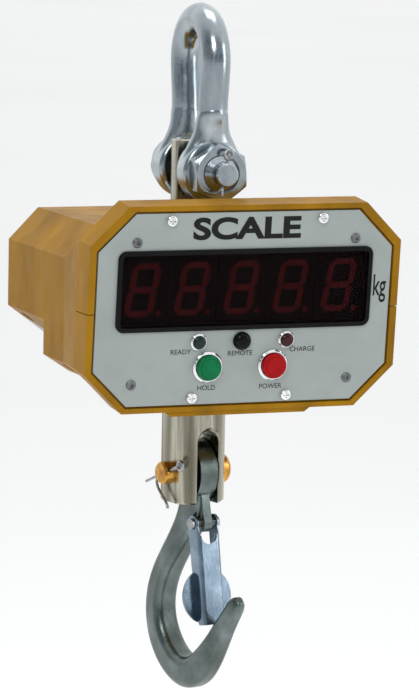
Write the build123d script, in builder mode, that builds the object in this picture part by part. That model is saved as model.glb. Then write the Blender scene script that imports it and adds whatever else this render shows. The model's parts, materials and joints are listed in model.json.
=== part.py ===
from build123d import *
from math import cos, sin, radians, hypot
import os

os.makedirs("parts", exist_ok=True)

# Hanging crane scale. Millimetres, +Z up, X to the right of the display, Y towards the back.
# Origin: inner crown of the shackle bow, where the crane hook carries the scale.

# ---------------------------------------------------------------- driving dimensions
BAR_R = 10.5                 # shackle bar radius
BOW_HALF = 29.0              # bow centreline half width
BOLT_Z = -95.5               # shackle bolt axis
BOLT_R = 10.0
EAR_IN = 14.75               # inner and outer faces of the shackle ears
EAR_OUT = 32.75
EAR_R = 23.0

LUG_W = 37.6                 # load cell top lug, width by thickness
LUG_T = 11.6
LUG_TOP = -74.5
CELL_TOP = -137.0
CELL_W = 68.0
CELL_T = 34.0
CELL_BOTTOM = -235.9

CASE_TOP = -132.0            # top face of the casing body
PARTING_Z = -185.0           # joint between upper and lower casing
CASE_HALF = 105.0
FLARE_Y = -17.0              # where the flared front starts
BLOCK_Y = 25.0               # rear face of the deep middle block
REAR_Y = 105.0
WALL = 4.0

PANEL_Y = -92.9              # centre of the display window on the panel face
PANEL_Z = -169.97
PANEL_TILT = 5.61            # degrees, the panel faces slightly downwards
RIM_FRONT = 0.6              # rim stands this far in front of the panel face
RIM_DEPTH = 22.0
PLATE_GAP = 1.6              # open groove between the face panel and the rim
PLATE_T = 2.5
LEDGE_T = 4.0

WINDOW = (187.2, 56.6)       # display bezel outside size
WINDOW_IN = (181.0, 50.0)
DIGIT_PITCH = 36.1
DIGIT_X0 = -1.8
DIGIT_W = 21.0
DIGIT_U = 0.7                # digit centres above the window's centre
DIGIT_H = 37.4
DIGIT_SLANT = 0.17
SEGMENT_W = 4.3

SWIVEL_DEG = 11.6            # rest angle of clevis and hook about the load line
CLEVIS_R = 22.5
CLEVIS_FLAT = 19.2
SLOT_HALF = 8.7
CLEVIS_TOP = -243.0
CLEVIS_BOTTOM = -332.5
STEM_R = 12.0
PIN_Z = -311.0
PIN_R = 8.0
EYE_R = 22.5
EYE_T = 14.0

LATCH_Y = -15.5              # latch pivot, in the plane of the hook
LATCH_Z = -346.7
LATCH_TILT = 9.5
LATCH_PIN_R = 2.5
TONGUE_T = 6.4               # tongue of the hook that carries the latch
RUN = 0.05                   # radial running clearance

# outlines: half width, top, bottom, upper chamfer (x, z), lower chamfer (x, z)
RIM = (114.3, 58.95, -85.3, (27.0, 27.0), (28.2, 28.2))
PLATE = (107.8, 53.7, -80.3, (26.0, 26.0), (24.9, 24.9))
BLOCK = (CASE_HALF, CASE_TOP, -240.0, (22.0, 22.5), (19.0, 12.4))
REAR = (CASE_HALF, CASE_TOP, -230.0, (22.0, 22.5), (37.0, 27.5))

PANEL = Plane(
    origin=(0, PANEL_Y, PANEL_Z),
    x_dir=(1, 0, 0),
    z_dir=(0, -cos(radians(PANEL_TILT)), -sin(radians(PANEL_TILT))),
)
SWIVEL = Location((0, 0, 0), (0, 0, SWIVEL_DEG))


def placed(frame, plane):
    """The plane carried from the origin into the given frame."""
    return Plane(frame * plane.location)


def cut_corner(half, top, legs, inset):
    """Corner points of one chamfer after the outline moves inwards by inset."""
    length = hypot(*legs)
    nx, nz = legs[1] / length, legs[0] / length
    x_top = half - legs[0] - inset * (1 - nz) / nx
    z_side = top - legs[1] - inset * (1 - nx) / nz
    return x_top, z_side


def octagon(outline, inset=0.0):
    """Eight points of a symmetric chamfered outline."""
    half, top, bottom, upper, lower = outline
    x_top, z_up = cut_corner(half, top, upper, inset)
    x_low, z_low = cut_corner(half, -bottom, lower, inset)
    side, high, floor = half - inset, top - inset, bottom + inset
    right = [(x_top, high), (side, z_up), (side, -z_low), (x_low, floor)]
    left = [(-x, z) for x, z in reversed(right)]
    return right + left


def section(y):
    """Plane across the casing at depth y, local axes X and Z, facing the front."""
    return Plane(origin=(0, y, 0), x_dir=(1, 0, 0), z_dir=(0, -1, 0))


def casing_block(inset, front, rear):
    """Casing body as one solid, every outline moved inwards by inset."""
    with BuildPart() as block:
        with BuildSketch(PANEL.offset(front)):
            Polygon(*octagon(RIM, inset), align=None)
        extrude(amount=-(front + RIM_DEPTH))
        with BuildSketch(PANEL.offset(-RIM_DEPTH)):
            Polygon(*octagon(RIM, inset), align=None)
        with BuildSketch(section(FLARE_Y)):
            Polygon(*octagon(BLOCK, inset), align=None)
        loft(ruled=True)
        with BuildSketch(section(FLARE_Y)):
            Polygon(*octagon(BLOCK, inset), align=None)
        extrude(amount=-(BLOCK_Y - inset - FLARE_Y))
        with BuildSketch(section(FLARE_Y)):
            Polygon(*octagon(REAR, inset), align=None)
        extrude(amount=-(rear - FLARE_Y))
    return block.part


def wedge_block(inset, gap):
    """Rear lower corner of the casing below a plane that rises towards the back."""
    drop = 0.52
    top_rear = -209.0 - gap
    with BuildPart() as wedge:
        with BuildSketch(section(REAR_Y - inset)):
            Polygon(*octagon(REAR, inset), align=None)
        extrude(amount=60)
        with BuildSketch(Plane.YZ.offset(-130), mode=Mode.PRIVATE) as side:
            with BuildLine():
                Polyline(
                    (REAR_Y + 1, top_rear + drop),
                    (REAR_Y - 61, top_rear - 61 * drop),
                    (REAR_Y - 61, -250),
                    (REAR_Y + 1, -250),
                    close=True,
                )
            make_face()
        extrude(side.sketch, amount=260, mode=Mode.INTERSECT)
    return wedge.part


SHANK_SHARE = 0.93           # split pin: shank and legs are thinner than the wire of the eye
LEG_SHARE = 0.75


def cotter(plane, wire_r, eye_r, eye_off, exit_off, leg_a, leg_b):
    """Split pin: eye, straight shank along local Y and two opened legs."""
    frame = plane.location
    with BuildPart() as pin:
        with Locations(frame * Location((0, eye_off + eye_r, 0))):
            Torus(eye_r, wire_r)
        with BuildSketch(placed(frame, Plane.XZ.offset(-(eye_off + wire_r * 0.5)))):
            Circle(wire_r * SHANK_SHARE)
        extrude(amount=eye_off + wire_r * 0.5 - exit_off)
        for leg in (leg_a, leg_b):
            points = [plane.from_local_coords(p) for p in leg]
            with BuildLine() as path:
                Spline(*points)
            with BuildSketch(Plane(path.line @ 0, z_dir=path.line % 0)):
                Circle(wire_r * LEG_SHARE)
            sweep(path=path.line)
    return pin.part


def save(name, solid):
    solid.label = name
    export_step(solid, "parts/" + name + ".step")


# ---------------------------------------------------------------- shackle
# sections between bar and ear: height above the bolt, centre distance, half width, half depth
EAR_BLEND = (
    (46.0, 25.8, 8.5, 8.5), (40.0, 25.4, 10.9, 10.7), (35.0, 24.7, 11.6, 10.1),
    (28.0, 23.9, 13.2, 9.2), (22.0, 23.75, 15.8, 8.7), (15.0, 23.75, 19.3, 8.6),
    (7.0, 23.75, 21.8, 8.5),
)
BAR_FOOT = 41.0              # the round bar ends this far above the bolt, inside the blend
BAR_FOOT_Y = 25.4
EAR_ROUND = 3.5

with BuildPart() as shackle_bow:
    for side in (-1, 1):
        with BuildSketch(Plane.XZ.offset(side * EAR_OUT)):
            with Locations((0, BOLT_Z)):
                Circle(EAR_R)
        extrude(amount=-side * (EAR_OUT - EAR_IN))
    fillet(shackle_bow.edges().filter_by(GeomType.CIRCLE), EAR_ROUND)
    with BuildLine() as bow_path:
        near = Spline(
            (0, -BAR_FOOT_Y, BOLT_Z + BAR_FOOT), (0, -BOW_HALF, BAR_R - BOW_HALF),
            tangents=[(0, 0, 1), (0, 0, 1)],
        )
        crown = ThreePointArc(near @ 1, (0, 0, BAR_R), (0, BOW_HALF, BAR_R - BOW_HALF))
        Spline(
            crown @ 1, (0, BAR_FOOT_Y, BOLT_Z + BAR_FOOT),
            tangents=[(0, 0, -1), (0, 0, -1)],
        )
    with BuildSketch(Plane(near @ 0, x_dir=(1, 0, 0), z_dir=near % 0)):
        Circle(BAR_R)
    sweep(path=bow_path.line)
    for side in (-1, 1):
        for up, y, rx, ry in EAR_BLEND:
            with BuildSketch(Plane.XY.offset(BOLT_Z + up)):
                with Locations((0, side * y)):
                    Ellipse(rx, ry)
        loft()
    with BuildSketch(Plane.XZ.offset(60)):
        with Locations((0, BOLT_Z)):
            Circle(BOLT_R + 0.02)
    extrude(amount=-120, mode=Mode.SUBTRACT)
save("shackle_bow", shackle_bow.part)

NUT_FACE = 45.0
NUT_AF = 37.0
STUB_R = 8.3
FACE_GAP = 0.05              # nut and bolt head against the ears
HEAD_H = 12.5
SINK_R = 13.5                # countersink in the nut's outer face
SINK_DEPTH = 2.5
SHOULDER_R = 12.5            # turned shoulder inside that countersink
COTTER_HOLE_R = 1.6
PIN_LEAN = radians(11)       # the split pin leans sideways in its hole
COTTER_Y = 51.0
NUT_TURN = 35                # degrees the nut happens to be turned
NUT_CORNER_R = 21.2
NUT_FACE_R = 18.1            # the bevel takes the nut's face down to a round
NUT_BEVEL = 1.8


def nut_blank():
    """Turned blank with a bevelled front, which rounds off the corners of the nut."""
    with BuildPart() as blank:
        with BuildSketch(Plane.XZ.offset(EAR_OUT)):
            with Locations((0, BOLT_Z)):
                Circle(NUT_CORNER_R)
        extrude(amount=NUT_FACE - NUT_BEVEL - EAR_OUT)
        for start, radius in ((NUT_FACE - NUT_BEVEL, NUT_CORNER_R), (NUT_FACE, NUT_FACE_R)):
            with BuildSketch(Plane.XZ.offset(start)):
                with Locations((0, BOLT_Z)):
                    Circle(radius)
        loft()
    return blank.part


with BuildPart() as shackle_bolt:
    with BuildSketch(Plane.XZ.offset(-EAR_OUT - FACE_GAP)):
        with Locations((0, BOLT_Z)):
            Circle(BOLT_R)
    extrude(amount=NUT_FACE - 1.5 + EAR_OUT + FACE_GAP)
    with BuildSketch(Plane.XZ.offset(NUT_FACE - SINK_DEPTH + 0.1)):
        with Locations((0, BOLT_Z)):
            Circle(SHOULDER_R)
    extrude(amount=SINK_DEPTH - 0.5)
    for start, radius in ((NUT_FACE - 0.4, SHOULDER_R), (NUT_FACE + 3.0, STUB_R + 0.3)):
        with BuildSketch(Plane.XZ.offset(start)):
            with Locations((0, BOLT_Z)):
                Circle(radius)
    loft()
    with BuildSketch(Plane.XZ.offset(NUT_FACE - 1.5)):
        with Locations((0, BOLT_Z)):
            Circle(STUB_R)
    extrude(amount=13.0)
    chamfer(shackle_bolt.faces().sort_by(Axis.Y)[0].edges(), 1.0)
    with BuildSketch(Plane.XZ.offset(-EAR_OUT - FACE_GAP)):
        with Locations((0, BOLT_Z)):
            RegularPolygon(NUT_AF / 2, 6, major_radius=False, rotation=20)
    extrude(amount=-HEAD_H)
    # the head's corners are turned down almost to its flats
    with BuildSketch(Plane.XZ.offset(-EAR_OUT - FACE_GAP), mode=Mode.PRIVATE) as head_disc:
        with Locations((0, BOLT_Z)):
            Circle(NUT_AF / 2 + 0.4)
    head_blank = extrude(head_disc.sketch, amount=-HEAD_H, mode=Mode.PRIVATE)
    shank_blank = extrude(head_disc.sketch, amount=100, mode=Mode.PRIVATE)
    add(head_blank + shank_blank, mode=Mode.INTERSECT)
    with BuildSketch(Plane(
        origin=(0, -COTTER_Y, BOLT_Z), x_dir=(0, 1, 0), z_dir=(sin(PIN_LEAN), 0, cos(PIN_LEAN))
    ).offset(-20)):
        Circle(COTTER_HOLE_R)
    extrude(amount=40, mode=Mode.SUBTRACT)
save("shackle_bolt", shackle_bolt.part)

with BuildPart() as shackle_nut:
    with BuildSketch(Plane.XZ.offset(EAR_OUT + FACE_GAP)):
        with Locations((0, BOLT_Z)):
            RegularPolygon(NUT_AF / 2, 6, major_radius=False, rotation=NUT_TURN)
    extrude(amount=NUT_FACE - EAR_OUT - FACE_GAP)
    add(nut_blank(), mode=Mode.INTERSECT)
    with BuildSketch(Plane.XZ.offset(EAR_OUT)):
        with Locations((0, BOLT_Z)):
            Circle(BOLT_R + 0.02)
    extrude(amount=20, mode=Mode.SUBTRACT)
    with BuildSketch(Plane.XZ.offset(NUT_FACE - SINK_DEPTH)):
        with Locations((0, BOLT_Z)):
            Circle(SINK_R)
    extrude(amount=5, mode=Mode.SUBTRACT)
save("shackle_nut", shackle_nut.part)

shackle_pin_plane = Plane(
    origin=(0, -COTTER_Y, BOLT_Z),
    x_dir=(cos(PIN_LEAN), 0, -sin(PIN_LEAN)),
    z_dir=(0, -1, 0),
)
save("shackle_cotter", cotter(
    shackle_pin_plane, 1.2, 3.0, STUB_R + 2.6, -STUB_R - 1.5,
    [(0, -STUB_R - 0.8, 0), (-2.2, -STUB_R - 4.0, 0.3), (-13.0, -STUB_R - 5.0, 0.8)],
    [(0, -STUB_R - 0.8, 0), (0.2, -STUB_R - 3.5, 0.6), (0.6, -STUB_R - 6.5, 1.2)],
))

# ---------------------------------------------------------------- load cell and swivel bearing
WINDOW_TOP = -178.0
BRIDGE_TOP = -222.0
GAUGE_Z = -157.5
GAUGE_R = 13.0

with BuildPart() as load_cell:
    with BuildSketch(Plane.XY.offset(CELL_TOP - 1)):
        Rectangle(LUG_W, LUG_T)
    extrude(amount=LUG_TOP - CELL_TOP + 1)
    with BuildSketch(Plane.XY.offset(CELL_BOTTOM)):
        Rectangle(CELL_W, CELL_T)
    extrude(amount=CELL_TOP - CELL_BOTTOM)
    fillet(load_cell.edges().filter_by(Axis.Z), 1.5)
    chamfer(load_cell.faces().sort_by(Axis.Z)[-1].edges(), 1.0)
    with BuildSketch(Plane.XZ.offset(CELL_T)):
        with Locations((0, BOLT_Z)):
            Circle(BOLT_R + RUN)
        with Locations((0, (WINDOW_TOP + BRIDGE_TOP) / 2)):
            RectangleRounded(47, WINDOW_TOP - BRIDGE_TOP, 2)
    extrude(amount=-2 * CELL_T, mode=Mode.SUBTRACT)
    for side in (-1, 1):
        with BuildSketch(Plane.XZ.offset(side * CELL_T / 2)):
            with Locations((-17, GAUGE_Z), (17, GAUGE_Z)):
                Circle(GAUGE_R)
        extrude(amount=-side * 13.5, mode=Mode.SUBTRACT)
    with BuildSketch(Plane.XY.offset(CELL_BOTTOM - 1)):
        Circle(STEM_R + RUN)
    extrude(amount=BRIDGE_TOP - CELL_BOTTOM + 2, mode=Mode.SUBTRACT)
save("load_cell", load_cell.part)

COVER = (64, 32)             # gauge cover
COVER_T = 1.5
with BuildPart() as gauge_covers:
    for side in (-1, 1):
        with BuildSketch(Plane.XZ.offset(side * (CELL_T / 2 + 0.02))):
            with Locations((0, GAUGE_Z)):
                RectangleRounded(*COVER, 4)
        extrude(amount=side * COVER_T)
save("gauge_covers", gauge_covers.part)

RACE_R = 21.0
RACE_T = 3.0
BALL_R = 2.3
BALL_RING_R = 17.0
BALLS = 14

with BuildPart() as lower_race:
    with BuildSketch(Plane.XY.offset(BRIDGE_TOP)):
        Circle(RACE_R)
        Circle(STEM_R + 1.0, mode=Mode.SUBTRACT)
    extrude(amount=RACE_T)
save("lower_race", lower_race.part)

with BuildPart() as bearing_balls:
    with Locations(Plane.XY.offset(BRIDGE_TOP + 5.3)):
        with PolarLocations(BALL_RING_R, BALLS):
            Sphere(BALL_R)
save("bearing_balls", bearing_balls.part)

with BuildPart() as upper_race:
    with BuildSketch(Plane.XY.offset(BRIDGE_TOP + 8)):
        Circle(RACE_R)
        Circle(STEM_R + 0.02, mode=Mode.SUBTRACT)
    extrude(amount=RACE_T)
save("upper_race", upper_race.part)

NUT_BASE = BRIDGE_TOP + 11.05
SWIVEL_NUT_R = 18.0          # across the flats, halved
SWIVEL_NUT_CORNER_R = 20.0
SWIVEL_NUT_H = 19.0
with BuildPart() as swivel_nut:
    with BuildSketch(Plane.XY.offset(NUT_BASE)):
        RegularPolygon(SWIVEL_NUT_R, 6, major_radius=False)
        Circle(STEM_R + 0.02, mode=Mode.SUBTRACT)
    extrude(amount=SWIVEL_NUT_H)
    with BuildSketch(Plane.XY.offset(NUT_BASE), mode=Mode.PRIVATE) as swivel_disc:
        Circle(SWIVEL_NUT_CORNER_R)
    extrude(swivel_disc.sketch, amount=SWIVEL_NUT_H, mode=Mode.INTERSECT)
    with BuildSketch(Plane.XZ.offset(30)):
        with Locations((0, NUT_BASE + 14)):
            Circle(2.1)
    extrude(amount=-60, mode=Mode.SUBTRACT)
save("swivel_nut", swivel_nut.part)

# ---------------------------------------------------------------- casing
outer_block = casing_block(0.0, RIM_FRONT, REAR_Y)
inner_block = casing_block(WALL, -PLATE_T - LEDGE_T, REAR_Y - WALL)
wedge_cut = wedge_block(0.0, -0.35)

with BuildPart() as front_cut:
    with BuildSketch(PANEL.offset(-PLATE_T)):
        Polygon(*octagon(PLATE, -PLATE_GAP), align=None)
    extrude(amount=PLATE_T + RIM_FRONT + 1)
    with BuildSketch(PANEL.offset(-PLATE_T - LEDGE_T - 0.5)):
        Polygon(*octagon(PLATE, 9.0), align=None)
    extrude(amount=LEDGE_T + 1)

PAN_SCREWS = ((-56.4, 48.7), (54.5, 48.7), (-35.4, -75.6), (34.3, -75.6))
BOARD_SCREWS = ((-80.5, 33.9), (80.0, 33.9), (-80.0, -65.0), (79.5, -65.0))
CASE_SCREWS = ((-95.5, -2), (95.5, -2), (-95.5, 88), (95.5, 88))
SEAL_T = 0.3
SEAT = 0.02                  # gap under pieces that stand on the panel
COLUMN_R = 7.0               # casing screw column, its bore and the sink of the screw head
CASE_BORE_R = 2.6
CASE_SINK_R = 4.8
CASE_HEAD_R = 4.3
CASE_SHANK_R = 2.5
CASE_HEAD_H = 4.0
CASE_SCREW_END = -176.5
PAN_BORE_R = 2.05
THROAT_R = 25.0              # hole under the casing for the clevis

with BuildPart() as screw_columns:
    with BuildSketch(Plane.XY.offset(-240)):
        with Locations(*CASE_SCREWS):
            Circle(COLUMN_R)
    extrude(amount=76)

with BuildPart() as case_bores:
    for x, y in CASE_SCREWS:
        with BuildSketch(Plane.XY.offset(-260)):
            with Locations((x, y)):
                Circle(CASE_BORE_R)
        extrude(amount=84)
        with BuildSketch(Plane.XY.offset(-260)):
            with Locations((x, y)):
                Circle(CASE_SINK_R)
        extrude(amount=38 if y < 50 else 59)
    for x, u in PAN_SCREWS:
        with BuildSketch(PANEL.offset(-12)):
            with Locations((x, u)):
                Circle(PAN_BORE_R)
        extrude(amount=13)

with BuildPart() as top_opening:
    with BuildSketch(Plane.XY.offset(CASE_TOP - 10)):
        RectangleRounded(LUG_W + 3, LUG_T + 3, 3)
    extrude(amount=20)
    with BuildSketch(Plane.XY.offset(-262)):
        Circle(THROAT_R)
    extrude(amount=40)

casing_raw = outer_block - inner_block - front_cut.part
columns_in = screw_columns.part & outer_block
casing_raw = casing_raw + columns_in - case_bores.part - top_opening.part - wedge_cut

with BuildPart() as upper_casing:
    add(casing_raw)
    split(bisect_by=Plane.XY.offset(PARTING_Z + SEAL_T), keep=Keep.TOP)
save("upper_casing", upper_casing.part)

with BuildPart() as lower_casing:
    add(casing_raw)
    split(bisect_by=Plane.XY.offset(PARTING_Z - SEAL_T), keep=Keep.BOTTOM)
    with BuildSketch(PANEL.offset(RIM_FRONT - 1)):
        with BuildLine():
            Polyline(
                (-57.0, -82.8), (-49.7, -88.6), (49.7, -88.6), (57.0, -82.8), close=True
            )
        make_face()
    extrude(amount=-24)
save("lower_casing", lower_casing.part)

with BuildPart() as casing_seal:
    add(casing_raw)
    split(bisect_by=Plane.XY.offset(PARTING_Z + SEAL_T - 0.02), keep=Keep.BOTTOM)
    split(bisect_by=Plane.XY.offset(PARTING_Z - SEAL_T + 0.02), keep=Keep.TOP)
    with BuildSketch(section(-70)):
        with Locations((0, PARTING_Z)):
            Rectangle(240, 10)
    extrude(amount=60, mode=Mode.SUBTRACT)
save("casing_seal", casing_seal.part)

with BuildPart() as casing_screws:
    for x, y in CASE_SCREWS:
        head_z = -222.0 if y < 50 else -201.0
        with BuildSketch(Plane.XY.offset(head_z)):
            with Locations((x, y)):
                Circle(CASE_HEAD_R)
        extrude(amount=-CASE_HEAD_H)
        with BuildSketch(Plane.XY.offset(head_z)):
            with Locations((x, y)):
                Circle(CASE_SHANK_R)
        extrude(amount=CASE_SCREW_END - head_z)
        with BuildSketch(Plane.XY.offset(head_z - CASE_HEAD_H)):
            with Locations((x, y)):
                RegularPolygon(2.3, 6)
        extrude(amount=2.2, mode=Mode.SUBTRACT)
save("casing_screws", casing_screws.part)

FLANGE_Y = 5.5
with BuildPart() as top_flange:
    with BuildSketch(Plane.XY.offset(CASE_TOP + 0.02)):
        with Locations((0, FLANGE_Y)):
            RectangleRounded(78, 42, 8)
        RectangleRounded(LUG_W + 1.2, LUG_T + 1.2, 2, mode=Mode.SUBTRACT)
    extrude(amount=4)
    chamfer(top_flange.faces().sort_by(Axis.Z)[-1].outer_wire().edges(), 0.8)
save("top_flange", top_flange.part)

FLANGE_SCREWS = [(x, FLANGE_Y + y) for x in (-31, 31) for y in (-14.5, 14.5)]
with BuildPart() as flange_screws:
    with BuildSketch(Plane.XY.offset(CASE_TOP + 4.04)):
        with Locations(*FLANGE_SCREWS):
            Circle(4.0)
    extrude(amount=3.2)
    chamfer(flange_screws.faces().filter_by(Axis.Z).sort_by(Axis.Z)[-4:].edges(), 0.6)
    with BuildSketch(Plane.XY.offset(CASE_TOP + 5.4)):
        with Locations(*FLANGE_SCREWS):
            RegularPolygon(2.0, 6)
    extrude(amount=3, mode=Mode.SUBTRACT)
save("flange_screws", flange_screws.part)

# ---------------------------------------------------------------- front panel
LAMPS = (-32.3, 32.3)
LAMP_U = -36.3
EYE_X = -0.5
BUTTONS = (-24.7, 23.4)
BUTTON_U = -54.1
RING_R = 11.0
CAP_R = 8.8
BARREL_R = 10.0


def panel_disc(points, radius, start, height):
    """Round columns standing on the panel, from start to start plus height along its normal."""
    with BuildPart() as column:
        with BuildSketch(PANEL.offset(start)):
            with Locations(*points):
                Circle(radius)
        extrude(amount=height)
    return column.part


def outermost(solid, count):
    """Flat faces that look out of the panel, the furthest ones last."""
    flat = solid.faces().filter_by(GeomType.PLANE)
    flat = flat.filter_by(lambda f: f.normal_at().dot(PANEL.z_dir) > 0.99)
    return flat.sort_by(lambda f: f.center().dot(PANEL.z_dir))[-count:]


LAMP_HOLE_R = 4.3
PAN_HOLE_R = 2.2
PAN_HEAD_R = 3.9
PAN_HEAD_H = 2.4
PAN_SHANK_R = 2.0
PAN_LENGTH = 11.0
CROSS = (4.2, 0.9)           # cross recess, length by width
BOARD_HOLE_R = 1.7
BOARD_HEAD_R = 3.4
BOARD_SHANK_R = 1.5
LAMP_RING_R = 6.0

with BuildPart() as face_panel:
    with BuildSketch(PANEL.offset(-PLATE_T)):
        Polygon(*octagon(PLATE), align=None)
        RectangleRounded(WINDOW[0] - 3, WINDOW[1] - 3, 3, mode=Mode.SUBTRACT)
        with Locations(*[(x, LAMP_U) for x in LAMPS]):
            Circle(LAMP_HOLE_R, mode=Mode.SUBTRACT)
        with Locations((EYE_X, LAMP_U)):
            Circle(LAMP_HOLE_R, mode=Mode.SUBTRACT)
        with Locations(*[(x, BUTTON_U) for x in BUTTONS]):
            Circle(BARREL_R + 0.1, mode=Mode.SUBTRACT)
        with Locations(*PAN_SCREWS):
            Circle(PAN_HOLE_R, mode=Mode.SUBTRACT)
        with Locations(*BOARD_SCREWS):
            Circle(BOARD_HOLE_R, mode=Mode.SUBTRACT)
    extrude(amount=PLATE_T)
save("face_panel", face_panel.part)

with BuildPart() as panel_screws:
    with BuildSketch(PANEL.offset(SEAT)):
        with Locations(*PAN_SCREWS):
            Circle(PAN_HEAD_R)
    extrude(amount=PAN_HEAD_H)
    fillet(outermost(panel_screws, 4).edges(), 1.2)
    with BuildSketch(PANEL.offset(SEAT)):
        with Locations(*PAN_SCREWS):
            Circle(PAN_SHANK_R)
    extrude(amount=-PAN_LENGTH)
    with BuildSketch(PANEL.offset(1.2)):
        with Locations(*PAN_SCREWS):
            Rectangle(*CROSS)
            Rectangle(*CROSS, rotation=90)
    extrude(amount=3, mode=Mode.SUBTRACT)
save("panel_screws", panel_screws.part)

BOARD_FRONT = -14.0
with BuildPart() as board_screws:
    with BuildSketch(PANEL.offset(SEAT)):
        with Locations(*BOARD_SCREWS):
            Circle(BOARD_HEAD_R)
    extrude(amount=1.3)
    chamfer(outermost(board_screws, 4).edges(), 0.6)
    with BuildSketch(PANEL.offset(SEAT)):
        with Locations(*BOARD_SCREWS):
            Circle(BOARD_SHANK_R)
    extrude(amount=BOARD_FRONT - 5)
    with BuildSketch(PANEL.offset(0.3)):
        with Locations(*BOARD_SCREWS):
            RegularPolygon(1.6, 6)
    extrude(amount=3, mode=Mode.SUBTRACT)
save("board_screws", board_screws.part)

with BuildPart() as board_spacers:
    with BuildSketch(PANEL.offset(-PLATE_T - 0.02)):
        with Locations(*BOARD_SCREWS):
            RegularPolygon(3.2, 6)
            Circle(1.52, mode=Mode.SUBTRACT)
    extrude(amount=BOARD_FRONT + PLATE_T + 0.04)
save("board_spacers", board_spacers.part)

with BuildPart() as display_bezel:
    with BuildSketch(PANEL.offset(SEAT)):
        RectangleRounded(*WINDOW, 6)
    extrude(amount=2.0)
    chamfer(outermost(display_bezel, 1).edges(), 0.7)
    with BuildSketch(PANEL.offset(SEAT)):
        RectangleRounded(WINDOW[0] - 3.4, WINDOW[1] - 3.4, 4.8)
    extrude(amount=-1.9)
    with BuildSketch(PANEL.offset(-5)):
        RectangleRounded(*WINDOW_IN, 3)
    extrude(amount=10, mode=Mode.SUBTRACT)
save("display_bezel", display_bezel.part)

with BuildPart() as display_filter:
    with BuildSketch(PANEL.offset(-1.2)):
        RectangleRounded(WINDOW_IN[0] - 0.1, WINDOW_IN[1] - 0.1, 2.9)
    extrude(amount=1.5)
save("display_filter", display_filter.part)

DIGITS = [(DIGIT_X0 + DIGIT_PITCH * (i - 2), DIGIT_U) for i in range(5)]
MODULE_FACE = -2.2

with BuildPart() as digit_modules:
    with BuildSketch(PANEL.offset(MODULE_FACE)):
        with Locations(*DIGITS):
            Rectangle(DIGIT_PITCH - 0.6, 48)
    extrude(amount=BOARD_FRONT - MODULE_FACE)
save("digit_modules", digit_modules.part)


def slanted(x, u):
    return x + DIGIT_SLANT * u, u


def segment(x0, u0, x1, u1, width):
    """Six-sided bar between two points of a digit, mitred at 45 degrees."""
    length = hypot(x1 - x0, u1 - u0)
    ax, au = (x1 - x0) / length, (u1 - u0) / length
    half = width / 2
    bar = []
    for along, across in (
        (0.4, 0), (half, half), (length - half, half),
        (length - 0.4, 0), (length - half, -half), (half, -half),
    ):
        x = x0 + ax * along - au * across
        u = u0 + au * along + ax * across
        bar.append(slanted(x, u))
    return bar


def digit_bars():
    half_w = (DIGIT_W - SEGMENT_W) / 2
    half_h = (DIGIT_H - SEGMENT_W) / 2
    corners = {
        "tl": (-half_w, half_h), "tr": (half_w, half_h),
        "ml": (-half_w, 0), "mr": (half_w, 0),
        "bl": (-half_w, -half_h), "br": (half_w, -half_h),
    }
    pairs = ("tl tr", "ml mr", "bl br", "bl ml", "ml tl", "br mr", "mr tr")
    bars = []
    for pair in pairs:
        start, end = pair.split()
        bars.append(segment(*corners[start], *corners[end], SEGMENT_W))
    return bars


with BuildPart() as digit_segments:
    with BuildSketch(PANEL.offset(MODULE_FACE + 0.02)):
        for x, u in DIGITS:
            with Locations((x, u)):
                for bar in digit_bars():
                    Polygon(*bar, align=None)
            with Locations((x + DIGIT_W / 2 + 1.5, u - DIGIT_H / 2 + 2.2)):
                Circle(2.0)
    extrude(amount=0.3)
save("digit_segments", digit_segments.part)

with BuildPart() as display_board:
    with BuildSketch(PANEL.offset(BOARD_FRONT - 0.04)):
        with Locations((0, -15.5)):
            Rectangle(174, 110)
        with Locations(*[(x, BUTTON_U) for x in BUTTONS]):
            Circle(BARREL_R + 1.5, mode=Mode.SUBTRACT)
        with Locations(*BOARD_SCREWS):
            Circle(1.6, mode=Mode.SUBTRACT)
    extrude(amount=-1.6)
save("display_board", display_board.part)

with BuildPart() as lamp_rings:
    with BuildSketch(PANEL.offset(SEAT)):
        with Locations(*[(x, LAMP_U) for x in LAMPS]):
            Circle(LAMP_RING_R)
    extrude(amount=2.4)
    chamfer(outermost(lamp_rings, 2).edges(), 0.8)
    add(panel_disc([(x, LAMP_U) for x in LAMPS], 4.2, 0.02, -5))
    add(panel_disc([(x, LAMP_U) for x in LAMPS], 3.6, -6, 12), mode=Mode.SUBTRACT)
    add(panel_disc([(x, LAMP_U) for x in LAMPS], 4.9, 1.2, 3), mode=Mode.SUBTRACT)
save("lamp_rings", lamp_rings.part)


def lamp(x, name):
    with BuildPart() as lens:
        add(panel_disc([(x, LAMP_U)], 3.5, BOARD_FRONT, -BOARD_FRONT + 2))
        add(panel_disc([(x, LAMP_U)], 4.8, 1.25, 3.4))
        fillet(outermost(lens, 1).edges(), 2.6)
    save(name, lens.part)


lamp(LAMPS[0], "green_lamp")
lamp(LAMPS[1], "red_lamp")

with BuildPart() as infrared_eye:
    add(panel_disc([(EYE_X, LAMP_U)], 4.2, BOARD_FRONT, -BOARD_FRONT + 1))
    add(panel_disc([(EYE_X, LAMP_U)], 6.4, 0.02, 5.2))
    fillet(outermost(infrared_eye, 1).edges(), 4.2)
save("infrared_eye", infrared_eye.part)

BUTTON_SPOTS = [(x, BUTTON_U) for x in BUTTONS]
with BuildPart() as button_rings:
    add(panel_disc(BUTTON_SPOTS, RING_R, 0.02, 2.6))
    chamfer(outermost(button_rings, 2).edges(), 1.0)
    add(panel_disc(BUTTON_SPOTS, BARREL_R, 0.02, -19))
    add(panel_disc(BUTTON_SPOTS, CAP_R + 0.5, -17, 25), mode=Mode.SUBTRACT)
    add(panel_disc(BUTTON_SPOTS, 3.5, -20, 4), mode=Mode.SUBTRACT)
save("button_rings", button_rings.part)

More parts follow.
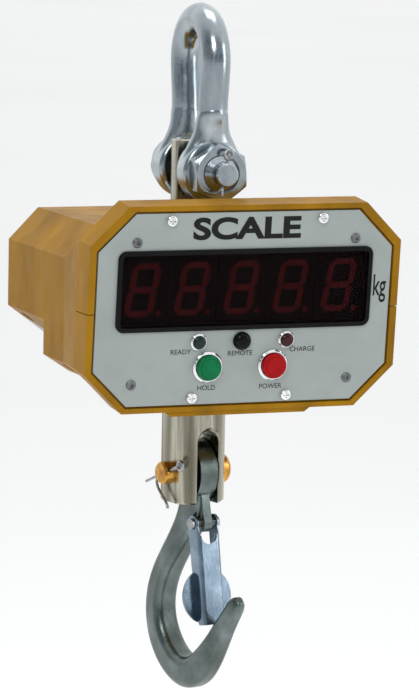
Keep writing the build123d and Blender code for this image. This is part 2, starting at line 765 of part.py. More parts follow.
with BuildPart() as button_nuts:
    with BuildSketch(PANEL.offset(-PLATE_T - 0.02)):
        with Locations(*BUTTON_SPOTS):
            RegularPolygon(11.6, 6, major_radius=False)
            Circle(BARREL_R + 0.05, mode=Mode.SUBTRACT)
    extrude(amount=-3)
save("button_nuts", button_nuts.part)

with BuildPart() as button_switches:
    add(panel_disc(BUTTON_SPOTS, BARREL_R - 0.5, -19.05, -9))
    add(panel_disc(BUTTON_SPOTS, 3.5, -25, 10), mode=Mode.SUBTRACT)
    with BuildSketch(PANEL.offset(-28.1)):
        for x, u in BUTTON_SPOTS:
            with Locations((x - 4, u), (x + 4, u)):
                Rectangle(0.8, 4)
    extrude(amount=-5)
save("button_switches", button_switches.part)


def button(x, name):
    with BuildPart() as cap:
        add(panel_disc([(x, BUTTON_U)], CAP_R, -5, 10.6))
        fillet(outermost(cap, 1).edges(), 1.2)
        add(panel_disc([(x, BUTTON_U)], 6.6, 5.0, 1.2))
        fillet(outermost(cap, 1).edges(), 0.5)
        add(panel_disc([(x, BUTTON_U)], 3.0, -20.5, 16))
    save(name, cap.part)


button(BUTTONS[0], "green_button")
button(BUTTONS[1], "red_button")

MAIN_SPOTS = [(x, u) for x in (-58, 58) for u in (-26, 28)]
MAIN_FRONT = -36.0
with BuildPart() as main_spacers:
    with BuildSketch(PANEL.offset(BOARD_FRONT - 1.66)):
        with Locations(*MAIN_SPOTS):
            RegularPolygon(3.2, 6)
    extrude(amount=MAIN_FRONT - BOARD_FRONT + 1.66)
save("main_spacers", main_spacers.part)

with BuildPart() as main_board:
    with BuildSketch(PANEL.offset(MAIN_FRONT - 0.02)):
        Rectangle(130, 66)
    extrude(amount=-1.6)
save("main_board", main_board.part)

CHIPS = (
    (-30, 8, 24, 16, 3), (8, 14, 12, 12, 2), (38, -8, 30, 22, 8), (-44, -18, 16, 10, 7),
    (2, -16, 10, 10, 9), (-12, -20, 8, 8, 9),
)
with BuildPart() as board_components:
    for x, u, w, h, t in CHIPS:
        with BuildSketch(PANEL.offset(MAIN_FRONT - 1.64)):
            with Locations((x, u)):
                Rectangle(w, h)
        extrude(amount=-t)
save("board_components", board_components.part)

with BuildPart() as signal_cable:
    with BuildLine() as wire:
        Spline((-20, -40.2, -190), (-26, -28, -186), (-40, -20, -180), (-42, -6, -172),
               (-38.2, 2, -166))
    with BuildSketch(Plane(wire.line @ 0, z_dir=wire.line % 0)):
        Circle(2.2)
    sweep(path=wire.line)
save("signal_cable", signal_cable.part)

# ---------------------------------------------------------------- battery tray
TRAY_WALL = 3.0
wedge_full = wedge_block(0.0, 0.0)
wedge_hollow = wedge_block(TRAY_WALL, -2.0)
with BuildPart() as battery_tray:
    add(wedge_full)
    with BuildSketch(section(REAR_Y - TRAY_WALL)):
        Polygon(*octagon(REAR, TRAY_WALL), align=None)
    extrude(amount=80, mode=Mode.SUBTRACT)
    with BuildSketch(Plane.XY.offset(-225.4)):
        with Locations((0, 66)):
            Rectangle(118, 74)
    extrude(amount=12.3)
    with BuildSketch(Plane.XY.offset(-223.4)):
        with Locations((0, 65.5)):
            Rectangle(114, 69)
    extrude(amount=20, mode=Mode.SUBTRACT)
    with BuildSketch(section(REAR_Y - 0.5)):
        with Locations((0, -219)):
            RectangleRounded(60, 9, 3)
    extrude(amount=2.0, mode=Mode.SUBTRACT)
save("battery_tray", battery_tray.part)

with BuildPart() as battery:
    with BuildSketch(Plane.XY.offset(-223.3)):
        with Locations((0, 65.5)):
            RectangleRounded(112, 67, 3)
    extrude(amount=10.0)
save("battery", battery.part)

with BuildPart() as charge_socket:
    with BuildSketch(section(REAR_Y + 0.02)):
        with Locations((60, -160)):
            Circle(9)
    extrude(amount=-2.5)
    with BuildSketch(section(REAR_Y + 3)):
        with Locations((60, -160)):
            Circle(4)
    extrude(amount=2, mode=Mode.SUBTRACT)
save("charge_socket", charge_socket.part)

# ---------------------------------------------------------------- clevis
MOUTH = 3.4                  # depth of the flared edge of the slot, from the clevis radius
with BuildPart() as clevis:
    with BuildSketch(Plane.XY.offset(CLEVIS_BOTTOM)):
        Circle(CLEVIS_R)
    extrude(amount=CLEVIS_TOP - CLEVIS_BOTTOM)
    chamfer(clevis.faces().sort_by(Axis.Z)[0].edges(), 1.5)
    chamfer(clevis.faces().sort_by(Axis.Z)[-1].edges(), 1.5)
    with BuildSketch(placed(SWIVEL, Plane.XY.offset(CLEVIS_BOTTOM))):
        Rectangle(80, 80)
        Rectangle(2 * CLEVIS_FLAT, 80, mode=Mode.SUBTRACT)
    extrude(amount=72, mode=Mode.SUBTRACT)
    with BuildSketch(placed(SWIVEL, Plane.XZ.offset(40))):
        with Locations((0, -280 - SLOT_HALF)):
            Circle(SLOT_HALF)
        with Locations((0, -280 - SLOT_HALF)):
            Rectangle(2 * SLOT_HALF, 80, align=(Align.CENTER, Align.MAX))
    extrude(amount=-80, mode=Mode.SUBTRACT)
    for turn in (0, 180):
        mouth = Plane.XZ.offset(CLEVIS_R + 0.5)
        facing = SWIVEL * Location((0, 0, 0), (0, 0, turn))
        with BuildSketch(placed(facing, mouth)):
            with Locations((0, -280 - SLOT_HALF)):
                Circle(SLOT_HALF + MOUTH)
                Rectangle(2 * (SLOT_HALF + MOUTH), 90, align=(Align.CENTER, Align.MAX))
        extrude(amount=-MOUTH, taper=45, mode=Mode.SUBTRACT)
    with BuildSketch(placed(SWIVEL, Plane.YZ.offset(-40))):
        with Locations((0, PIN_Z)):
            Circle(PIN_R + 0.02)
    extrude(amount=80, mode=Mode.SUBTRACT)
    with BuildSketch(Plane.XY.offset(CLEVIS_TOP - 0.1)):
        Circle(STEM_R)
    extrude(amount=NUT_BASE + 22 - CLEVIS_TOP)
    chamfer(clevis.faces().sort_by(Axis.Z)[-1].edges(), 1.2)
    with BuildSketch(Plane.XZ.offset(30)):
        with Locations((0, NUT_BASE + 14)):
            Circle(2.1)
    extrude(amount=-60, mode=Mode.SUBTRACT)
save("clevis", clevis.part)

with BuildPart() as nut_pin:
    with BuildSketch(Plane.XZ.offset(19.5)):
        with Locations((0, NUT_BASE + 14)):
            Circle(2.0)
    extrude(amount=-39)
save("nut_pin", nut_pin.part)

PIN_END = -27.5
HEAD_T = 7.8
with BuildPart() as clevis_pin:
    with BuildSketch(placed(SWIVEL, Plane.YZ.offset(PIN_END))):
        with Locations((0, PIN_Z)):
            Circle(PIN_R)
    extrude(amount=CLEVIS_FLAT + 0.1 - PIN_END)
    chamfer(clevis_pin.faces().sort_by(Axis.X)[0].edges(), 1.4)
    with BuildSketch(placed(SWIVEL, Plane.YZ.offset(CLEVIS_FLAT + 0.02))):
        with Locations((0, PIN_Z)):
            Circle(11.2)
    extrude(amount=HEAD_T)
    fillet(clevis_pin.faces().sort_by(Axis.X)[-1].edges(), 4.2)
    with Locations(SWIVEL * Location((PIN_END + 4, 0, PIN_Z), (69, 0, 0))):
        Cylinder(1.9, 30, mode=Mode.SUBTRACT)
save("clevis_pin", clevis_pin.part)

# local Y of the split pin points from the opened legs to the eye
pin_cotter_plane = placed(SWIVEL, Plane(
    origin=(PIN_END + 4, 0, PIN_Z),
    x_dir=(0, -sin(radians(21)), -cos(radians(21))),
    z_dir=(-1, 0, 0),
))
save("clevis_cotter", cotter(
    pin_cotter_plane, 1.3, 3.0, 18.6, -PIN_R - 1.0,
    [(0, -PIN_R - 0.5, 0), (0.3, -PIN_R - 6.0, 0.5), (1.0, -PIN_R - 16.0, 1.5)],
    [(0, -PIN_R - 0.5, 0), (3.5, -PIN_R - 4.0, 0.3), (12.0, -PIN_R - 2.0, 0.3),
     (25.0, -PIN_R + 3.3, 0)],
))

# ---------------------------------------------------------------- hook
# stations along the centreline, in the plane of the hook: y, z, width, depth
HOOK_LINE = (
    (-3.0, -322.0, 13.0, 24.0), (-2.0, -336.0, 14.0, 26.5), (3.5, -349.0, 14.6, 24.0),
    (13.0, -362.5, 16.0, 21.0), (23.0, -375.5, 18.0, 19.5), (32.5, -389.5, 19.0, 19.5),
    (39.0, -405.0, 19.5, 20.5), (40.0, -420.0, 20.0, 21.5), (36.0, -433.5, 20.5, 22.5),
    (27.0, -445.5, 21.0, 23.0), (13.5, -454.5, 21.0, 23.0), (-1.5, -457.3, 21.0, 22.5),
    (-15.5, -452.0, 20.0, 21.5), (-27.0, -441.5, 18.0, 19.5), (-36.5, -430.0, 15.5, 17.0),
    (-46.0, -417.0, 13.5, 14.5), (-55.0, -405.5, 12.0, 12.5), (-61.0, -397.8, 10.8, 11.0),
    (-63.2, -395.0, 8.4, 8.6), (-64.2, -393.7, 4.6, 4.8),
)


def hook_section(index):
    """Rounded trapezoid across the centreline, broad side towards the throat."""
    y, z, width, depth = HOOK_LINE[index]
    before = HOOK_LINE[max(index - 1, 0)]
    after = HOOK_LINE[min(index + 1, len(HOOK_LINE) - 1)]
    along = (0, after[0] - before[0], after[1] - before[1])
    plane = placed(SWIVEL, Plane(origin=(0, y, z), x_dir=(1, 0, 0), z_dir=along))
    w, d = width / 2, depth / 2
    with BuildSketch(plane) as face:
        with BuildLine():
            Polyline((-w, d), (w, d), (w * 0.72, -d), (-w * 0.72, -d), close=True)
        make_face()
        fillet(face.vertices(), min(width, depth) * 0.27)
    return face.sketch


with BuildPart() as hook:
    for index in range(len(HOOK_LINE)):
        add(hook_section(index))
    loft()
    with BuildSketch(placed(SWIVEL, Plane.YZ.offset(-EYE_T / 2))):
        with Locations((0, PIN_Z)):
            Circle(EYE_R)
    extrude(amount=EYE_T)
    with BuildSketch(placed(SWIVEL, Plane.YZ.offset(-TONGUE_T / 2))) as boss:
        with Locations((LATCH_Y, LATCH_Z)):
            Circle(6.5)
        with Locations((-8.0, LATCH_Z + 16)):
            Circle(10.0)
        with Locations((2.0, LATCH_Z + 2)):
            Circle(9.0)
        make_hull()
    extrude(amount=TONGUE_T)
    with BuildSketch(placed(SWIVEL, Plane.YZ.offset(-30))):
        with Locations((0, PIN_Z)):
            Circle(PIN_R + RUN)
        with Locations((LATCH_Y, LATCH_Z)):
            Circle(LATCH_PIN_R + 0.01)
    extrude(amount=60, mode=Mode.SUBTRACT)
save("hook", hook.part)

with BuildPart() as latch_pin:
    with BuildSketch(placed(SWIVEL, Plane.YZ.offset(-11.4))):
        with Locations((LATCH_Y, LATCH_Z)):
            Circle(LATCH_PIN_R)
    extrude(amount=22.8)
    for side in (-1, 1):
        with BuildSketch(placed(SWIVEL, Plane.YZ.offset(side * 9.85))):
            with Locations((LATCH_Y, LATCH_Z)):
                Circle(4.0)
        extrude(amount=side * 1.6)
save("latch_pin", latch_pin.part)

# ---------------------------------------------------------------- safety latch
SHEET = 1.8
LATCH_HALF = 9.5
WEB_FRONT = 6.5
WEB_END = -72.0
WING_R = 20.0
WING_CENTRE = -52.0
WING_Z = -3.5
tilt = radians(LATCH_TILT)
LATCH = placed(SWIVEL, Plane(
    origin=(0, LATCH_Y, LATCH_Z), x_dir=(1, 0, 0), z_dir=(0, -cos(tilt), sin(tilt))
))
LATCH_SIDE = placed(LATCH.location, Plane.YZ)

with BuildPart() as safety_latch:
    # local axes of the side plane: along the latch, then out of its front
    with BuildSketch(LATCH_SIDE.offset(-LATCH_HALF)):
        with BuildLine():
            Polyline(
                (2.0, -5.6), (-20.0, -5.2), (-64.0, WING_Z), (WEB_END, WING_Z + 3.5),
                (WEB_END, WEB_FRONT), (-8.0, WEB_FRONT), (-2.0, WEB_FRONT - 1.0), (2.0, 5.6),
                close=True,
            )
        make_face()
        with Locations((0, 0)):
            Circle(6.0)
    extrude(amount=2 * LATCH_HALF)
    web_edges = safety_latch.edges().filter_by(
        lambda e: e.length > 50 and (e.center() - LATCH.origin).dot(LATCH.z_dir) > WEB_FRONT - 0.1
    )
    fillet(web_edges, 3.0)
    with BuildSketch(LATCH.offset(WING_Z)):
        with Locations((0, WING_CENTRE)):
            Circle(WING_R)
        with Locations((0, WING_CENTRE)):
            Rectangle(2 * LATCH_HALF - 0.5, 2 * WING_R + 5, mode=Mode.SUBTRACT)
    extrude(amount=SHEET)
    with BuildSketch(LATCH.offset(-12)):
        Rectangle(2 * (LATCH_HALF - SHEET), 200)
    extrude(amount=12 + WEB_FRONT - SHEET, mode=Mode.SUBTRACT)
    with BuildSketch(LATCH.offset(-12)):
        with Locations((0, -8.5)):
            Rectangle(2 * (LATCH_HALF - SHEET), 60, align=(Align.CENTER, Align.MIN))
        with Locations((0, -8.5)):
            Circle(LATCH_HALF - SHEET - 1.2)
    extrude(amount=30, mode=Mode.SUBTRACT)
    with BuildSketch(LATCH_SIDE.offset(-30)):
        Circle(LATCH_PIN_R + RUN)
    extrude(amount=60, mode=Mode.SUBTRACT)
save("safety_latch", safety_latch.part)

WIRE_R = 0.45
COIL_R = 3.15
COIL_PITCH = 1.3
COIL_LENGTH = 2.6            # two turns
with BuildPart() as latch_spring:
    with BuildLine() as coil_line:
        Helix(COIL_PITCH, COIL_LENGTH, COIL_R)
    coil_path = LATCH_SIDE.offset(TONGUE_T / 2 + 1.0).location * coil_line.line
    with BuildSketch(Plane(coil_path @ 0, z_dir=coil_path % 0)):
        Circle(WIRE_R)
    sweep(path=coil_path, is_frenet=True)
save("latch_spring", latch_spring.part)
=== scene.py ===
import json
from math import cos, radians, sin

import bpy
from mathutils import Matrix, Vector


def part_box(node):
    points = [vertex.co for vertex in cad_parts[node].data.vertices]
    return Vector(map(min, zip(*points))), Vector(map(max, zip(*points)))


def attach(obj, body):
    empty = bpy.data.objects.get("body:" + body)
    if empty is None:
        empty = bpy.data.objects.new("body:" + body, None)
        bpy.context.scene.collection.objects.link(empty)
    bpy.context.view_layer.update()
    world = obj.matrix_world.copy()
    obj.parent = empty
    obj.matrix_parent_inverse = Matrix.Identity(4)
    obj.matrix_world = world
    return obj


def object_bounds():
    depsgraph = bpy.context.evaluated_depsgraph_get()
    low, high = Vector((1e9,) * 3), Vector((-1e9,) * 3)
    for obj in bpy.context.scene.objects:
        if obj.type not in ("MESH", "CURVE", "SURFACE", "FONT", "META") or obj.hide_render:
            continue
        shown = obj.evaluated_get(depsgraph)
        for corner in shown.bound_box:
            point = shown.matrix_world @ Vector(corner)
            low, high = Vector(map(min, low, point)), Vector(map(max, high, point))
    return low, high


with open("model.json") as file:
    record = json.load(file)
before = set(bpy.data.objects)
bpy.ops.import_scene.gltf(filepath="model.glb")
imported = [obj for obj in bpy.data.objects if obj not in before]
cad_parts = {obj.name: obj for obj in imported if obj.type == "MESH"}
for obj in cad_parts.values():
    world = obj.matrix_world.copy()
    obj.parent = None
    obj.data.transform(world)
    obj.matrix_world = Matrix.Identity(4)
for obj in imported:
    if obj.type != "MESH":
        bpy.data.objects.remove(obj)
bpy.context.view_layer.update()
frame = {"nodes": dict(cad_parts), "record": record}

MM = 0.001
MATERIALS = {}

# ---------------------------------------------------------------- the panel's own plane
PANEL_TILT = radians(5.61)
PANEL_RIGHT = Vector((1, 0, 0))
PANEL_OUT = Vector((0, -cos(PANEL_TILT), -sin(PANEL_TILT)))
PANEL_UP = Vector((0, -sin(PANEL_TILT), cos(PANEL_TILT)))


def panel_origin():
    """Centre of the display window, on the front face of the panel."""
    low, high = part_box("display_filter")
    centre = (low + high) / 2
    corners = [v.co for v in frame["nodes"]["face_panel"].data.vertices]
    face = max(c.dot(PANEL_OUT) for c in corners)
    return centre + PANEL_OUT * (face - centre.dot(PANEL_OUT))


# ---------------------------------------------------------------- material helpers
NOISE_ROUGHNESS = 0.55
FACTOR_LOW = 0.3                 # most of a noise lies between these two
FACTOR_HIGH = 0.7
PATCH_DETAIL = 5
GLOSS_DETAIL = 6
GRAIN_DETAIL = 3
GLOSS_FINER = 2.3                # the uneven gloss is this much finer than the colour patches


def principled(name, color, metallic, roughness, **sockets):
    """A new material with its even values set on the shader's own sockets."""
    material = bpy.data.materials.new(name)
    material.use_nodes = True
    shader = material.node_tree.nodes["Principled BSDF"]
    shader.inputs["Base Color"].default_value = (*color, 1)
    shader.inputs["Metallic"].default_value = metallic
    shader.inputs["Roughness"].default_value = roughness
    for socket, value in sockets.items():
        shader.inputs[socket.replace("_", " ")].default_value = value
    MATERIALS[name] = material
    return material.node_tree, shader


def noise(tree, scale, detail, stretch=(1, 1, 1)):
    """Noise fixed to the object, so it moves with its body. Scale is in features per metre."""
    coordinates = tree.nodes.new("ShaderNodeTexCoord")
    mapping = tree.nodes.new("ShaderNodeMapping")
    mapping.inputs["Scale"].default_value = stretch
    texture = tree.nodes.new("ShaderNodeTexNoise")
    texture.inputs["Scale"].default_value = scale
    texture.inputs["Detail"].default_value = detail
    texture.inputs["Roughness"].default_value = NOISE_ROUGHNESS
    tree.links.new(coordinates.outputs["Object"], mapping.inputs["Vector"])
    tree.links.new(mapping.outputs["Vector"], texture.inputs["Vector"])
    return texture.outputs["Fac"]


def ramp(tree, factor, stops):
    """Colour ramp from (place, colour) stops."""
    node = tree.nodes.new("ShaderNodeValToRGB")
    elements = node.color_ramp.elements
    elements[0].position, elements[0].color = stops[0][0], (*stops[0][1], 1)
    elements[1].position, elements[1].color = stops[-1][0], (*stops[-1][1], 1)
    for place, color in stops[1:-1]:
        elements.new(place).color = (*color, 1)
    tree.links.new(factor, node.inputs["Fac"])
    return node.outputs["Color"]


def shades(low, high):
    """Stops of a ramp between two colours, over a noise's usual span."""
    return [(FACTOR_LOW, low), (FACTOR_HIGH, high)]


def spread(tree, factor, low, high):
    """A noise's usual span mapped to low to high."""
    node = tree.nodes.new("ShaderNodeMapRange")
    node.inputs["From Min"].default_value = FACTOR_LOW
    node.inputs["From Max"].default_value = FACTOR_HIGH
    node.inputs["To Min"].default_value = low
    node.inputs["To Max"].default_value = high
    tree.links.new(factor, node.inputs["Value"])
    return node.outputs["Result"]


def bump(tree, shader, layers):
    """Chain of bumps, each (height factor, depth in metres)."""
    normal = None
    for height, depth in layers:
        node = tree.nodes.new("ShaderNodeBump")
        node.inputs["Strength"].default_value = 1.0
        node.inputs["Distance"].default_value = depth
        tree.links.new(height, node.inputs["Height"])
        if normal is not None:
            tree.links.new(normal, node.inputs["Normal"])
        normal = node.outputs["Normal"]
    tree.links.new(normal, shader.inputs["Normal"])


def textured(
    name, stops, metallic, rough, grain, depth,
    streak=None, color_scale=60, color_stretch=(1, 1, 1), **sockets
):
    """Material with patchy colour, uneven gloss and a fine grain.

    stops are the patches' colours, color_scale and color_stretch the patches' noise, rough the
    (least, most) roughness, and grain and depth the fine noise's scale and its depth in metres.
    streak is an optional (scale, stretch, depth) for drawn, cast or brushed lines.
    """
    tree, shader = principled(name, stops[0][1], metallic, rough[0], **sockets)
    patches = noise(tree, color_scale, PATCH_DETAIL, color_stretch)
    gloss = noise(tree, color_scale * GLOSS_FINER, GLOSS_DETAIL)
    tree.links.new(ramp(tree, patches, stops), shader.inputs["Base Color"])
    tree.links.new(spread(tree, gloss, *rough), shader.inputs["Roughness"])
    layers = [(noise(tree, grain, GRAIN_DETAIL), depth)]
    if streak:
        scale, stretch, streak_depth = streak
        layers.append((noise(tree, scale, GRAIN_DETAIL, stretch), streak_depth))
    bump(tree, shader, layers)


# ---------------------------------------------------------------- the materials
def metals():
    textured("zinc_steel",
             [(0.3, (0.24, 0.285, 0.31)), (0.52, (0.36, 0.41, 0.44)), (0.72, (0.50, 0.55, 0.57))],
             1.0, (0.16, 0.28), 900, 0.00006,
             streak=(60, (1, 1, 0.6), 0.0003), color_scale=45, color_stretch=(1, 1, 0.3))
    # partly painted reflection: these tight stops, stretched lengthwise, paint the turned bar's bright
    # and dark reflection bands into the steel's colour, over its own patchy tone
    textured("machined_steel",
             [(0.34, (0.16, 0.15, 0.11)), (0.46, (0.30, 0.285, 0.225)),
              (0.54, (0.52, 0.50, 0.41)), (0.62, (0.24, 0.225, 0.17))],
             1.0, (0.16, 0.30), 1500, 0.00003,
             streak=(500, (3, 3, 0.08), 0.00006), color_scale=70, color_stretch=(1, 1, 0.05))
    textured("hook_steel",
             [(0.3, (0.075, 0.095, 0.088)), (0.52, (0.12, 0.15, 0.145)), (0.75, (0.20, 0.24, 0.245))],
             1.0, (0.24, 0.38), 800, 0.00016, streak=(60, (1, 1, 0.8), 0.0004), color_scale=45)
    textured("latch_zinc",
             [(0.3, (0.14, 0.19, 0.24)), (0.55, (0.23, 0.30, 0.37)), (0.75, (0.37, 0.45, 0.53))],
             1.0, (0.18, 0.30), 1200, 0.00004, streak=(300, (3, 3, 0.2), 0.00005), color_scale=45)
    textured("pin_yellow",
             [(0.3, (0.34, 0.15, 0.03)), (0.5, (0.55, 0.29, 0.06)), (0.7, (0.66, 0.42, 0.14))],
             1.0, (0.20, 0.36), 1300, 0.00004, color_scale=140)
    textured("screw_steel", shades((0.24, 0.25, 0.26), (0.42, 0.43, 0.45)),
             1.0, (0.24, 0.42), 1800, 0.00003, color_scale=220)
    textured("screw_dark", shades((0.10, 0.105, 0.11), (0.20, 0.205, 0.215)),
             1.0, (0.28, 0.45), 1800, 0.00003, color_scale=220)
    textured("chrome", shades((0.66, 0.67, 0.69), (0.84, 0.84, 0.85)),
             1.0, (0.05, 0.13), 1600, 0.00001, color_scale=200)


def paints():
    textured("casing_yellow",
             [(0.28, (0.17, 0.083, 0.003)), (0.5, (0.27, 0.130, 0.004)), (0.75, (0.36, 0.180, 0.006))],
             0.0, (0.42, 0.56), 1400, 0.00003,
             streak=(70, (1.6, 1.6, 0.25), 0.00018), color_scale=24, color_stretch=(1, 1, 0.3),
             Specular_IOR_Level=0.08, Coat_Weight=0.04, Coat_Roughness=0.2)
    textured("panel_grey", shades((0.27, 0.305, 0.295), (0.305, 0.34, 0.33)),
             0.05, (0.34, 0.42), 2600, 0.00002, color_scale=40)
    textured("tray_grey", shades((0.24, 0.25, 0.26), (0.34, 0.35, 0.36)),
             0.2, (0.34, 0.46), 1800, 0.00005)


def plastics():
    textured("black_frame", shades((0.003, 0.003, 0.004), (0.006, 0.006, 0.007)),
             0.0, (0.12, 0.20), 300, 0.00001, color_scale=120, Specular_IOR_Level=0.1)
    textured("dark_filter", shades((0.003, 0.001, 0.0015), (0.005, 0.002, 0.002)),
             0.0, (0.03, 0.06), 40, 0.00001, color_scale=40, Alpha=0.4, Specular_IOR_Level=0.05)
    textured("module_black", shades((0.003, 0.0025, 0.0025), (0.005, 0.004, 0.004)),
             0.0, (0.55, 0.70), 200, 0.00001, color_scale=120, Specular_IOR_Level=0.03)
    textured("segment_red", shades((0.11, 0.003, 0.005), (0.15, 0.005, 0.007)),
             0.0, (0.45, 0.60), 200, 0.00001, color_scale=160, Specular_IOR_Level=0.15)
    textured("board_green", shades((0.010, 0.07, 0.03), (0.018, 0.11, 0.05)),
             0.0, (0.30, 0.45), 1500, 0.00003, color_scale=90)
    textured("green_lens", shades((0.001, 0.009, 0.009), (0.002, 0.018, 0.016)),
             0.0, (0.08, 0.16), 1800, 0.00001, color_scale=200, Specular_IOR_Level=0.3)
    textured("red_lens", shades((0.022, 0.001, 0.003), (0.040, 0.002, 0.005)),
             0.0, (0.08, 0.16), 1800, 0.00001, color_scale=200, Specular_IOR_Level=0.3)
    textured("button_green", shades((0.001, 0.11, 0.035), (0.002, 0.16, 0.055)),
             0.0, (0.24, 0.34), 2200, 0.00001, color_scale=120, Specular_IOR_Level=0.12)
    textured("button_red", shades((0.27, 0.002, 0.003), (0.37, 0.004, 0.005)),
             0.0, (0.24, 0.34), 2200, 0.00001, color_scale=120, Specular_IOR_Level=0.12)
    textured("black_plastic", shades((0.012, 0.012, 0.013), (0.022, 0.022, 0.024)),
             0.0, (0.40, 0.55), 1600, 0.00004, color_scale=140)
    textured("battery_blue", shades((0.014, 0.030, 0.10), (0.022, 0.045, 0.14)),
             0.0, (0.25, 0.36), 900, 0.00004, color_scale=90)
    textured("panel_ink", shades((0.004, 0.004, 0.005), (0.008, 0.008, 0.009)),
             0.0, (0.50, 0.65), 2200, 0.00001, color_scale=200, Specular_IOR_Level=0.2)


def paint_nodes():
    """Every CAD node takes the material of its slot, except the board screws."""
    for entry in frame["record"]["subparts"]:
        slots = frame["nodes"][entry["node"]].data.materials
        slots.clear()
        slots.append(MATERIALS[entry["material_slot"]])
    # the hexagon-socket screws of the panel are a darker lot of the same steel
    frame["nodes"]["board_screws"].data.materials[0] = MATERIALS["screw_dark"]


# ---------------------------------------------------------------- generic marking on the panel
CAPITAL_SHARE = 0.7              # height of a capital over the font's size
INK_HALF = 0.05                  # half the ink's thickness, mm
INK_LIFT = 0.07                  # the ink's middle above the panel, mm
LABEL_H = 3.4


def marking(name, words, x, up, height, bold=0.0, wide=1.0):
    """Raised ink lettering, x and up in mm from the centre of the display window, stretched by wide."""
    curve = bpy.data.curves.new(name, "FONT")
    curve.body = words
    curve.align_x = "CENTER"
    curve.align_y = "CENTER"
    curve.size = height * MM / CAPITAL_SHARE
    curve.extrude = INK_HALF * MM
    curve.offset = bold * MM
    source = bpy.data.objects.new(name + "_text", curve)
    mesh = bpy.data.meshes.new_from_object(source)
    bpy.data.objects.remove(source)
    piece = bpy.data.objects.new(name, mesh)
    mesh.materials.clear()
    mesh.materials.append(MATERIALS["panel_ink"])
    bpy.context.scene.collection.objects.link(piece)
    place = panel_origin() + PANEL_RIGHT * x * MM + PANEL_UP * up * MM + PANEL_OUT * INK_LIFT * MM
    turn = Matrix((PANEL_RIGHT, PANEL_UP, PANEL_OUT)).transposed().to_4x4()
    piece.matrix_world = Matrix.Translation(place) @ turn @ Matrix.Diagonal((wide, 1, 1, 1))
    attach(piece, "scale")


def markings():
    marking("mark_title", "SCALE", -0.9, 41.8, 14.2, bold=0.75, wide=1.38)
    marking("mark_unit", "kg", 100.1, -0.5, 15.0, bold=0.2, wide=0.52)
    marking("mark_ready", "READY", -45.0, -43.2, LABEL_H)
    marking("mark_remote", "REMOTE", -1.2, -45.2, LABEL_H)
    marking("mark_charge", "CHARGE", 45.0, -43.6, LABEL_H)
    marking("mark_hold", "HOLD", -24.7, -69.0, LABEL_H)
    marking("mark_power", "POWER", 22.7, -69.3, LABEL_H)


# ---------------------------------------------------------------- camera, lengths in metres
CAMERA_YAW = radians(21.43)
CAMERA_PITCH = radians(7.81)
CAMERA_ROLL = radians(1.12)
CAMERA_TARGET = Vector((0, 0, -0.189))
CAMERA_DISTANCE = 2.7275
CAMERA_RIGHT = 0.009625
CAMERA_DOWN = 0.03503
CAMERA_LENS = 198.5
CAMERA_CLIP = 50


def camera():
    """Long lens, from the left of the display and slightly above it."""
    along = Vector((
        sin(CAMERA_YAW) * cos(CAMERA_PITCH), cos(CAMERA_YAW) * cos(CAMERA_PITCH), -sin(CAMERA_PITCH)
    ))
    level = Vector((cos(CAMERA_YAW), -sin(CAMERA_YAW), 0))
    rise = level.cross(along)
    right = level * cos(CAMERA_ROLL) + rise * sin(CAMERA_ROLL)
    up = rise * cos(CAMERA_ROLL) - level * sin(CAMERA_ROLL)
    data = bpy.data.cameras.new("camera")
    data.lens = CAMERA_LENS
    data.clip_end = CAMERA_CLIP
    eye = bpy.data.objects.new("camera", data)
    eye.matrix_world = Matrix.Translation(
        CAMERA_TARGET - along * CAMERA_DISTANCE + right * CAMERA_RIGHT - up * CAMERA_DOWN
    ) @ Matrix((right, up, -along)).transposed().to_4x4()
    bpy.context.scene.collection.objects.link(eye)
    bpy.context.scene.camera = eye


# ---------------------------------------------------------------- studio, lengths in metres
LIGHT_AIM = Vector((0, 0, -0.2))
ROOM_BACK = (0.35, 0.60, 0.72)   # the room is white this way
ROOM_FADE = (-0.05, 0.40)        # and turns to bands between these shares of that direction
ROOM_STRENGTH = 1.12
BAND_STRETCH = (1, 1, 0.35)
BAND_SCALE = 4.5
BAND_DETAIL = 1.5
BAND_STOPS = [
    (0.34, (0.02, 0.02, 0.02)), (0.43, (0.16, 0.12, 0.07)), (0.48, (0.30, 0.42, 0.56)),
    (0.52, (0.62, 0.70, 0.76)), (0.56, (0.12, 0.10, 0.07)), (0.64, (0.04, 0.04, 0.05)),
    (0.72, (0.75, 0.82, 0.88)),
]
WHITE = (1, 1, 1, 1)
FLOOR_SIZE = 90
FLOOR_DROP = 0.5                 # floor below the object
FLOOR_GRAIN = 0.4


def area_light(name, place, size, power, color=(1, 1, 1)):
    """Rectangular lamp aimed at the middle of the object."""
    data = bpy.data.lights.new(name, "AREA")
    data.shape = "RECTANGLE"
    data.size, data.size_y = size
    data.energy = power
    data.color = color
    lamp = bpy.data.objects.new(name, data)
    aim = LIGHT_AIM - Vector(place)
    lamp.matrix_world = Matrix.Translation(place) @ aim.to_track_quat("-Z", "Y").to_matrix().to_4x4()
    bpy.context.scene.collection.objects.link(lamp)


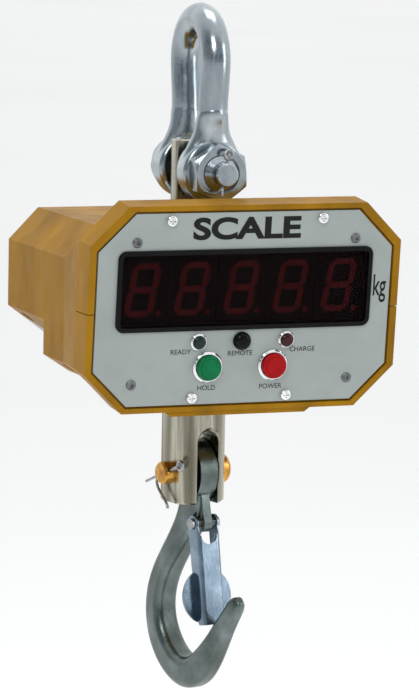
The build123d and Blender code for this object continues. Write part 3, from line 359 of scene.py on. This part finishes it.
def room(tree):
    """White room whose front side is darker, with tall soft bands for the metal to reflect."""
    direction = tree.nodes.new("ShaderNodeTexCoord").outputs["Generated"]
    towards = tree.nodes.new("ShaderNodeVectorMath")
    towards.operation = "DOT_PRODUCT"
    towards.inputs[1].default_value = ROOM_BACK
    tree.links.new(direction, towards.inputs[0])
    depth = tree.nodes.new("ShaderNodeMapRange")
    depth.inputs["From Min"].default_value = ROOM_FADE[0]
    depth.inputs["From Max"].default_value = ROOM_FADE[1]
    tree.links.new(towards.outputs["Value"], depth.inputs["Value"])
    mapping = tree.nodes.new("ShaderNodeMapping")
    mapping.inputs["Scale"].default_value = BAND_STRETCH
    tree.links.new(direction, mapping.inputs["Vector"])
    bands = tree.nodes.new("ShaderNodeTexNoise")
    bands.inputs["Scale"].default_value = BAND_SCALE
    bands.inputs["Detail"].default_value = BAND_DETAIL
    tree.links.new(mapping.outputs["Vector"], bands.inputs["Vector"])
    front = ramp(tree, bands.outputs["Fac"], BAND_STOPS)
    mix = tree.nodes.new("ShaderNodeMixRGB")
    mix.inputs["Color2"].default_value = WHITE
    tree.links.new(depth.outputs["Result"], mix.inputs["Fac"])
    tree.links.new(front, mix.inputs["Color1"])
    tree.links.new(mix.outputs["Color"], tree.nodes["Background"].inputs["Color"])


def studio():
    """World, three lamps and a pale floor."""
    bpy.context.scene.view_settings.view_transform = "Standard"
    world = bpy.data.worlds.new("world")
    bpy.context.scene.world = world
    world.use_nodes = True
    room(world.node_tree)
    world.node_tree.nodes["Background"].inputs["Strength"].default_value = ROOM_STRENGTH
    area_light("key", (-1.2, -1.8, 1.3), (0.9, 0.9), 26, (1, 0.98, 0.94))
    area_light("fill", (1.8, -1.4, 0.3), (0.6, 1.4), 10)
    area_light("top", (0.2, 0.4, 1.9), (1.2, 0.8), 14)

    bpy.ops.mesh.primitive_plane_add(size=FLOOR_SIZE, location=(0, 0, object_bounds()[0][2] - FLOOR_DROP))
    floor = bpy.context.object
    floor.name = "floor"
    tree, shader = principled("floor_pale", (0.95, 0.95, 0.95), 0.0, 0.9)
    pale = shades((0.93, 0.93, 0.93), (0.97, 0.97, 0.97))
    tree.links.new(ramp(tree, noise(tree, FLOOR_GRAIN, 2), pale), shader.inputs["Base Color"])
    floor.data.materials.append(MATERIALS["floor_pale"])


metals()
paints()
plastics()
paint_nodes()
markings()
camera()
studio()
